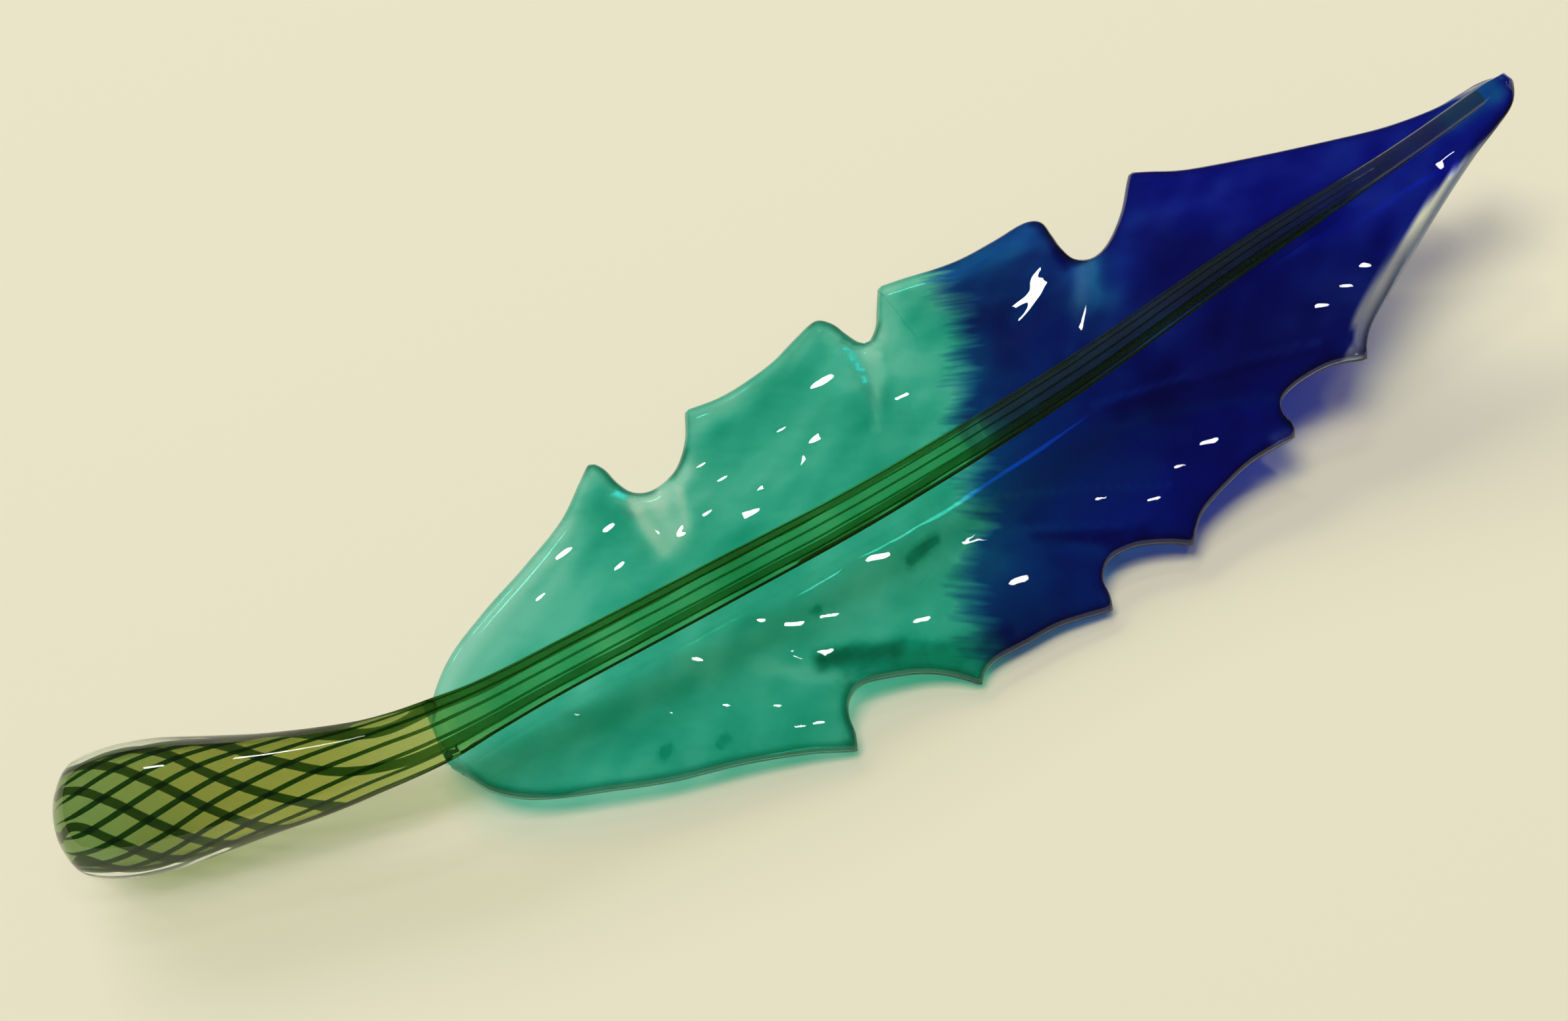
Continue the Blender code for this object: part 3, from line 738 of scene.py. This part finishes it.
def edge_distance(points, outline):
    """Distance of each point from a closed outline, negative outside it."""
    a, b = np.roll(outline, 1, axis=0), outline
    edge = b - a
    length = (edge**2).sum(1)
    result = np.empty(len(points))
    for start in range(0, len(points), 400):
        p = points[start : start + 400]
        rel = p[:, None] - a[None]
        t = np.clip((rel * edge).sum(2) / length, 0, 1)
        gap = np.linalg.norm(rel - t[..., None] * edge, axis=2).min(1)
        crosses = (a[None, :, 1] > p[:, None, 1]) != (b[None, :, 1] > p[:, None, 1])
        rise = np.where(edge[:, 1] == 0, 1e-9, edge[:, 1])
        at = a[None, :, 0] + (p[:, None, 1] - a[None, :, 1]) / rise * edge[None, :, 0]
        inside = (crosses & (p[:, None, 0] < at)).sum(1) % 2 == 1
        result[start : start + 400] = np.where(inside, gap, -gap)
    return result


def ring_points(outline, distance):
    """Points at a distance inside the outline, each square to the edge."""
    before, after = np.roll(outline, 1, axis=0), np.roll(outline, -1, axis=0)
    along = after - before
    along /= np.linalg.norm(along, axis=1, keepdims=True)
    inward = np.stack([along[:, 1], -along[:, 0]], 1)
    moved = outline + inward * distance
    return moved[edge_distance(moved, outline) > distance * 0.97]


OUTLINE = fine_outline()


def line_gap(xs, ws, line):
    """Distance from a line of points, and how far along it the nearest place is, from 0 to 1."""
    knots = np.array(line, float)
    p = np.stack([xs, ws], -1)
    lengths = np.linalg.norm(np.diff(knots, axis=0), axis=1)
    total, done = lengths.sum(), 0.0
    best = np.full(len(p), 1e9)
    along = np.zeros(len(p))
    for a, b, length in zip(knots, knots[1:], lengths):
        t = np.clip(((p - a) @ (b - a)) / length**2, 0, 1)
        gap = np.linalg.norm(p - a - t[:, None] * (b - a), axis=1)
        along = np.where(gap < best, (done + t * length) / total, along)
        best = np.minimum(best, gap)
        done += length
    return best, along


def near_line(xs, ws, line, width):
    """1 on a line of points, fading out over its half width."""
    gap, _ = line_gap(xs, ws, line)
    return np.exp(-((gap / width) ** 2))


def ripple(xs, ws, size, seed):
    return np.array([noise.noise(Vector((x / size, w / size, seed))) for x, w in zip(xs, ws)])


def relief(xs, ws):
    """How far the sheet as a whole is folded up or down, and how much thicker its top is."""
    fold = 0.28 * ripple(xs, ws, 16.0, 3.1)
    swell = 0.12 * ripple(xs, ws, 9.0, 7.7) + 0.035 * ripple(xs, ws, 4.0, 1.3)
    for line, height, width in RIDGES:
        gap, along = line_gap(xs, ws, line)
        fade = 1 - ramp(along, 0.45, 1.0)
        shape = np.exp(-((gap / width) ** 2)) * fade
        fold = fold + height * 0.5 * shape
        swell = swell + height * 0.5 * shape
    return fold, swell


FACET_LONG, FACET_SHORT = 1.5, 0.7  # a facet's length and width, as shares of its size
FAR_TURN, NEAR_TURN = math.radians(16), math.radians(-30)  # and how it lies
STEM_SIGHT = 3.5  # how far from the stem the view through it comes out below
GLINT_ROUNDS = 3  # neighbours change each other's tilt a little
GLINT_STEP = 0.15  # for measuring a slope
FACETS = []  # x, distance from the stem, size, and the tilt along and across


def facets(xs, ws):
    """How much the small tilted places raise the top."""
    total = np.zeros(len(xs))
    for x, w, size, along, across in FACETS:
        dx, dw = xs - x, ws - w
        turn = FAR_TURN if w > 0 else NEAR_TURN
        lengthways = dx * math.cos(turn) + dw * math.sin(turn)
        sideways = dw * math.cos(turn) - dx * math.sin(turn)
        fade = (lengthways / FACET_LONG) ** 2 + (sideways / FACET_SHORT) ** 2
        total += (along * dx + across * dw) * np.exp(-fade / size**2)
    return total


def vane_heights(xs, ws, depth, weld):
    """Heights of the vane's underside and top."""
    base = underside(xs, ws)
    fold, swell = relief(xs, ws)
    calm = ramp(depth, 0.0, 3.0) * ramp(np.abs(ws), 1.5, 5.0)
    fold, swell = fold * calm, swell * calm
    sunk = ramp(xs, SINK_FROM_X, SINK_TO_X)
    middle = base + VANE_THICK / 2 + np.maximum(fold, 0) + SINK_RISE * sunk
    reach = EDGE_ROUND + 0.9 * sunk
    u = 1 - np.clip(depth / reach, 0, 1)
    rounding = (1 - u**EDGE_POWER) ** (1 / EDGE_POWER)
    raise_ = 0.0
    if weld:
        low = bare_angle(xs)
        radius = curve(SKIN_RADIUS, xs)
        contact_w = radius * np.cos(low)
        contact_z = axis_at(xs)[:, 2] + radius * np.sin(low)
        side = np.where(ws > 0, 1.0, -1.0)
        at_contact = underside(xs, side * contact_w) + VANE_THICK
        reach_w = np.maximum(np.abs(ws) - contact_w, 0)
        raise_ = (contact_z - at_contact) * np.exp(-((reach_w / WELD_REACH) ** 1.3))
    top = middle + (VANE_THICK / 2 + swell + raise_ - SINK_RISE * sunk) * rounding
    top = top + facets(xs, ws) * rounding
    bottom = middle - (VANE_THICK / 2 - 0.05) * rounding
    return bottom, top


def top_points(xs, ws):
    """Points of the vane's top."""
    depth = np.maximum(edge_distance(np.stack([xs, ws], -1), OUTLINE), 0)
    return vane_points(xs, ws, vane_heights(xs, ws, depth, True)[1])


def unit(vector):
    return vector / np.linalg.norm(vector)


def view_direction():
    e, a = VIEW_ELEVATION, VIEW_AZIMUTH
    return np.array([math.sin(a) * math.cos(e), -math.cos(a) * math.cos(e), math.sin(e)])


def plant_glints():
    """Tilt the top at each place so that its lamp shows in it from the viewing angle."""
    eye = np.array(VIEW_AIM) + view_direction() * VIEW_DISTANCE
    places = [(*p, NEAR_LAMP) for p in NEAR_GLINTS] + [(*p, FAR_LAMP) for p in FAR_GLINTS]
    FACETS.extend((x, w, size, 0.0, 0.0) for x, w, size, _ in places)
    step = GLINT_STEP
    steps_x, steps_w = np.array([0, step, -step, 0, 0]), np.array([0, 0, 0, step, -step])
    for _ in range(GLINT_ROUNDS):
        for number, (x, w, size, lamp) in enumerate(places):
            p = top_points(x + steps_x, w + steps_w)
            source = unit(np.array(lamp)) * LAMP_DISTANCE / MM - SHIFT
            half = unit(eye - p[0]) + unit(source - p[0])
            more = [-(p[i] - p[i + 1]) @ half / half[2] / (2 * step) for i in (1, 3)]
            _, _, _, along, across = FACETS[number]
            FACETS[number] = (x, w, size, along + more[0], across + more[1])


def hex_grid(step):
    """Even points over the vane's area."""
    points = []
    row_height = step * math.sqrt(3) / 2
    low, high = OUTLINE.min(0), OUTLINE.max(0)
    row = 0
    w = low[1]
    while w < high[1]:
        x = low[0] + (step / 2 if row % 2 else 0)
        while x < high[0]:
            points.append((x, w))
            x += step
        w += row_height
        row += 1
    return np.array(points)


FINE_STEP = 0.34  # between a glint's points, which lie within this many times its size
FINE_REACH = 1.5
CONTACT_FROM, CONTACT_TO = -59.6, 103.0  # where the stem and the vane meet, by x
CONTACT_MARGIN = 0.45  # from the line where they meet, to the nearest points


def hex_patch(x, w, reach, step):
    """Even points in a disc."""
    rows = int(reach / step) + 1
    i, j = np.meshgrid(np.arange(-rows, rows + 1), np.arange(-rows, rows + 1))
    points = np.stack([x + step * (i + 0.5 * (j % 2)).ravel(), w + step * 0.866 * j.ravel()], 1)
    return points[np.hypot(points[:, 0] - x, points[:, 1] - w) < reach]


def triangulate(points, edges, loop):
    found = delaunay_2d_cdt([Vector(p) for p in points], edges, [loop], 1, 1e-5)
    return np.array([tuple(p) for p in found[0]]), [tuple(t) for t in found[2]]


def solid_sheet(low, high, triangles, shared):
    """Points and faces of a closed sheet from its lower and upper points, and which of the two
    lists' points are used. Where shared is true a point is common to both sides."""
    count = len(low)
    upper = np.where(shared, np.arange(count), np.arange(count) + count)
    faces = [tuple(int(upper[i]) for i in t) for t in triangles]
    faces += [tuple(int(i) for i in reversed(t)) for t in triangles]
    if not shared.any():
        sides = {(a, b) for t in triangles for a, b in zip(t, (*t[1:], t[0]))}
        faces += [(a, b, b + count, a + count) for a, b in sorted(sides) if (b, a) not in sides]
    used = np.zeros(2 * count, bool)
    used[[i for f in faces for i in f]] = True
    place = np.cumsum(used) - 1
    points = np.concatenate([low, high])[used]
    return points, [tuple(int(place[i]) for i in f) for f in faces], used


def build_vane_skin(glass, fused):
    """The clear skin of the vane, with its fire-polished edge."""
    contact_xs = STEM_STATIONS[(STEM_STATIONS > CONTACT_FROM) & (STEM_STATIONS < CONTACT_TO)]
    contact_w = curve(SKIN_RADIUS, contact_xs) * np.cos(bare_angle(contact_xs))
    lines = [np.stack([contact_xs, sign * contact_w], 1) for sign in (1, -1)]
    rings = [ring_points(OUTLINE, d) for d in RIM_RINGS]
    grid = hex_grid(GRID_STEP)
    depth = edge_distance(grid, OUTLINE)

    def contact_gap(points):
        return np.abs(np.abs(points[:, 1]) - np.interp(points[:, 0], contact_xs, contact_w))

    grid = grid[(depth > RIM_RINGS[-1] + 0.5) & (contact_gap(grid) >= CONTACT_MARGIN)]
    for x, w, size, _, _ in FACETS:
        gap = np.hypot(grid[:, 0] - x, grid[:, 1] - w)
        fine = hex_patch(x, w, FINE_REACH * size, FINE_STEP)
        inside = edge_distance(fine, OUTLINE) > RIM_RINGS[-1] + 0.3
        fine = fine[inside & (contact_gap(fine) > CONTACT_MARGIN)]
        grid = np.concatenate([grid[gap > FINE_REACH * size + 0.2], fine])
    rim = np.concatenate(rings)
    rim = rim[(contact_gap(rim) > 0.25) | (rim[:, 0] < -60)]
    points = np.concatenate([OUTLINE, *lines, rim, grid])
    first = len(OUTLINE)
    count = len(contact_xs)
    starts = (first, first + count)
    edges = [(k, k + 1) for start in starts for k in range(start, start + count - 1)]
    flat, triangles = triangulate(points, edges, list(range(first)))
    xs, ws = flat[:, 0], flat[:, 1]
    depth = np.maximum(edge_distance(flat, OUTLINE), 0)
    on_edge = depth < 1e-3
    bottom, top = vane_heights(xs, ws, np.where(on_edge, 0, depth), True)
    low, high = vane_points(xs, ws, bottom), vane_points(xs, ws, top)
    # the contact points are the stem's own
    limit = np.interp(xs, contact_xs, contact_w)
    before_end = xs < CONTACT_TO + 0.1
    contact = (np.abs(np.abs(ws) - limit) < 1e-3) & (xs > CONTACT_FROM - 0.1) & before_end
    bare = bare_angle(xs)
    own = np.where(ws > 0, bare, math.pi - bare)
    high[contact] = stem_points(xs, curve(SKIN_RADIUS, xs), own)[contact]
    points, faces, used = solid_sheet(low, high, triangles, on_edge)
    below_stem = (xs > CONTACT_FROM - 0.6) & before_end
    covered = (np.abs(ws) < limit + 1e-3) & below_stem
    # what is seen through the stem leaves the sheet below it without bending again
    under = (ws > -limit - 0.4) & (ws < limit + STEM_SIGHT) & below_stem
    slots = [int(all(hidden[i] for i in t)) for hidden in (covered, under) for t in triangles]
    obj = add_piece("vane_skin", points, faces, [glass, fused], slots, ["vane_base"])
    # painted shade: the rim darkens within a millimetre of the edge, fully on the near side and
    # less on the far side
    side = np.where(ws < 0, 1.0, 0.45)
    rim = side * (1 - ramp(depth, 0.15, 0.95))
    for line in WALLS:
        gap, _ = line_gap(xs, ws, line)
        rim = np.maximum(rim, (1 - ramp(depth, 0.4, 1.5)) * (1 - ramp(gap, 1.0, 2.0)))
    broken = 1 + 0.5 * ripple(xs, ws, 1.1, 8.5)
    for line, width, amount in SHADES:
        rim = np.maximum(rim, amount * near_line(xs, ws, line, width) * broken)
    set_attribute(obj, "rim", rim, used)
    set_attribute(obj, "past_seam", xs - curve(SEAM, ws), used)


def set_attribute(obj, key, values, used):
    attribute = obj.data.attributes.new(key, "FLOAT", "POINT")
    attribute.data.foreach_set("value", np.tile(values, 2)[used].astype(np.float32))


FILM_CUT = -7.0  # the two films meet this far before the cobalt begins
FILM_INSET = 0.16
FILM_LEVELS = (0.55, 0.7)  # a film's faces, as shares of the sheet's thickness
FILM_RINGS = (0.15, 0.35, 0.7, 1.1, 1.6, 2.2, 2.9)
FILM_STEP, FILM_GRID_FROM = 0.75, 3.6
CUT_POINTS, CUT_MARGIN = 52, 0.35
NEAR_STRENGTH, FAR_STRENGTH = 0.29, 0.36
SEA_PALER = 0.4


def film_loop(keep_low):
    """Edge of one film, and which of its points are on the line where the films meet."""
    loop = ring_points(OUTLINE, FILM_INSET)
    past = loop[:, 0] - curve(SEAM, loop[:, 1]) - FILM_CUT
    kept = past < 0 if keep_low else past > 0
    start = int(np.flatnonzero(kept & ~np.roll(kept, 1))[0])
    loop, past, kept = (np.roll(a, -start, axis=0) for a in (loop, past, kept))
    count = int(kept.sum())
    ends = []
    for i, j in ((-1, 0), (count - 1, count)):
        t = past[i] / (past[i] - past[j])
        ends.append(loop[i] + t * (loop[j] - loop[i]))
    ws = np.linspace(ends[1][1], ends[0][1], CUT_POINTS)[1:-1]
    cut = np.stack([curve(SEAM, ws) + FILM_CUT, ws], 1)
    points = np.concatenate([[ends[0]], loop[:count], [ends[1]], cut])
    on_cut = np.arange(len(points)) > count
    on_cut[0] = True
    return points, on_cut


def build_film(name, mat, fused, node, keep_low):
    """One colour film inside the vane, between two shares of its thickness."""
    loop, on_cut = film_loop(keep_low)
    rings = [ring_points(OUTLINE, FILM_INSET + more) for more in FILM_RINGS]
    grid = hex_grid(FILM_STEP)
    grid = grid[edge_distance(grid, OUTLINE) > FILM_GRID_FROM]
    inner = np.concatenate([*rings, grid])
    past = inner[:, 0] - curve(SEAM, inner[:, 1]) - FILM_CUT
    inner = inner[past < -CUT_MARGIN if keep_low else past > CUT_MARGIN]
    flat, triangles = triangulate(np.concatenate([loop, inner]), [], list(range(len(loop))))
    xs, ws = flat[:, 0], flat[:, 1]
    depth = edge_distance(flat, OUTLINE)
    bottom, top = vane_heights(xs, ws, depth, False)
    low = vane_points(xs, ws, bottom + (top - bottom) * FILM_LEVELS[0])
    high = vane_points(xs, ws, bottom + (top - bottom) * FILM_LEVELS[1])
    points, faces, used = solid_sheet(low, high, triangles, np.zeros(len(flat), bool))
    cut_points = set(np.flatnonzero(on_cut).tolist())
    sides = faces[2 * len(triangles) :]
    slots = [0] * (2 * len(triangles)) + [int({f[0], f[1]} <= cut_points) for f in sides]
    obj = add_piece(name, points, faces, [mat, fused], slots, [node])
    set_attribute(obj, "past_seam", xs - curve(SEAM, ws), used)
    set_attribute(obj, "strength", film_strength(xs, ws, depth), used)
    band = np.interp(xs, *np.array(CLEAR_BAND).T)
    clear = np.where(ws < 0, 1 - ramp(depth, band - 0.25, band + 0.25), 0.0) * ramp(band, 0.0, 0.3)
    for line, width, _, amount in STROKES:
        clear = np.maximum(clear, amount * near_line(xs, ws, line, width))
    set_attribute(obj, "clear", clear, used)
    sea = np.zeros(len(xs))
    for line, width, amount in SEA_STROKES:
        sea = np.maximum(sea, amount * near_line(xs, ws, line, width))
    set_attribute(obj, "sea", sea, used)
    spark = np.zeros(len(xs))
    broken = 0.75 + 0.9 * ripple(xs, ws, 0.9, 2.2)
    for line, width in SPARKS:
        spark = np.maximum(spark, ramp(near_line(xs, ws, line, width) * broken, 0.35, 0.75))
    set_attribute(obj, "spark", spark, used)


def film_strength(xs, ws, depth):
    """How strong a film's colour is: 0 for its lightest places and 1 for its darkest."""
    base = np.where(ws < 0, NEAR_STRENGTH, FAR_STRENGTH)
    for line, width, change, _ in STROKES:
        base = base + change * near_line(xs, ws, line, width)
    for line, width, amount in SEA_STROKES:
        base = base - SEA_PALER * amount * near_line(xs, ws, line, width)
    base = base + 0.32 * ripple(xs * 0.7 - ws, ws * 0.5 + xs * 0.35, 3.4, 5.5)
    light_base = 0.35 * np.exp(-(((xs + 42) / 14) ** 2) - ((ws - 8) / 9) ** 2)
    near = 0.06 * ramp(-ws, 12, 20)
    near -= 0.3 * ramp(xs, 8, 16) * ramp(-xs, -44, -30) * ramp(-ws, -2, 6)
    # painted shade: stronger colour over the raised last lobe stands in for the shade that the
    # glass lays on the floor under it
    tip_painted_shade = 0.45 * ramp(xs, 42, 62) * ramp(ws, -16, -4)
    # painted shade: the film is stronger by its edge, more on the near side than the far
    edge = np.where(ws < 0, 0.5, 0.15) * (1 - ramp(depth, 0.2, 1.6))
    pale = np.where(ws > 0, 0.22, 0.0) * np.exp(-(((depth - 2) / 1.8) ** 2))
    return base - light_base + near + tip_painted_shade + edge - pale * (1 - ramp(xs, 20, 40))


# -------------------- stage
def build_stage():
    mesh = bpy.data.meshes.new("floor")
    mesh.from_pydata([(x, y, 0) for x, y in FLOOR_CORNERS], [], [(0, 1, 2, 3)])
    mat, tree = new_material("floor_paint")
    values = {"Base Color": FLOOR_PAINT, "Roughness": 1.0, "Specular IOR Level": 0}
    show(tree, add_node(tree, "BsdfPrincipled", values))
    mesh.materials.append(mat)
    floor = add_object("floor", mesh)


def build_light():
    world = bpy.data.worlds.new("room")
    world.use_nodes = True
    background = world.node_tree.nodes["Background"]
    background.inputs["Color"].default_value = (*ROOM_COLOUR, 1)
    background.inputs["Strength"].default_value = ROOM_STRENGTH
    bpy.context.scene.world = world
    for name, direction, distance, size, power, shows in LIGHTS:
        light = bpy.data.lights.new(name, "AREA")
        light.shape = "RECTANGLE"
        light.size, light.size_y = size
        light.energy = power
        light.color = LIGHT_COLOUR
        lamp = add_object(name, light)
        way = Vector(direction).normalized()
        lamp.location = way * distance
        lamp.rotation_euler = way.to_track_quat("Z", "Y").to_euler()
        lamp.visible_glossy = lamp.visible_transmission = shows


def build_camera():
    back = Vector(view_direction().tolist())
    aim = (Vector(VIEW_AIM) + Vector(SHIFT.tolist())) * MM
    camera = bpy.data.cameras.new("camera")
    camera.lens = LENS_MM
    camera.sensor_width = SENSOR_MM
    camera.clip_start = 0.01
    obj = add_object("camera", camera)
    obj.location = aim + back * VIEW_DISTANCE * MM
    obj.rotation_euler = back.to_track_quat("Z", "Y").to_euler()
    bpy.context.scene.camera = obj


def main():
    glass = clear_skin("clear_glass", dull_stem=True)
    vane_glass = clear_skin("vane_glass", rim_shade)
    fused, tree = new_material("fused")  # where two skins are one there is nothing to see
    show(tree, see_through(tree))
    teal_mat = film_material("teal_film", TEAL_CLOUD, False)
    cobalt_mat = film_material("cobalt_film", COBALT_CLOUD, True)
    plant_glints()
    build_skin(glass, fused)
    build_core(core_material())
    build_threads(thread_material())
    build_vane_skin(vane_glass, fused)
    build_film("teal_film", teal_mat, fused, "vane_teal", True)
    build_film("cobalt_film", cobalt_mat, fused, "vane_cobalt", False)
    build_stage()
    build_light()
    build_camera()
    bpy.context.scene.view_settings.view_transform = "Standard"


main()
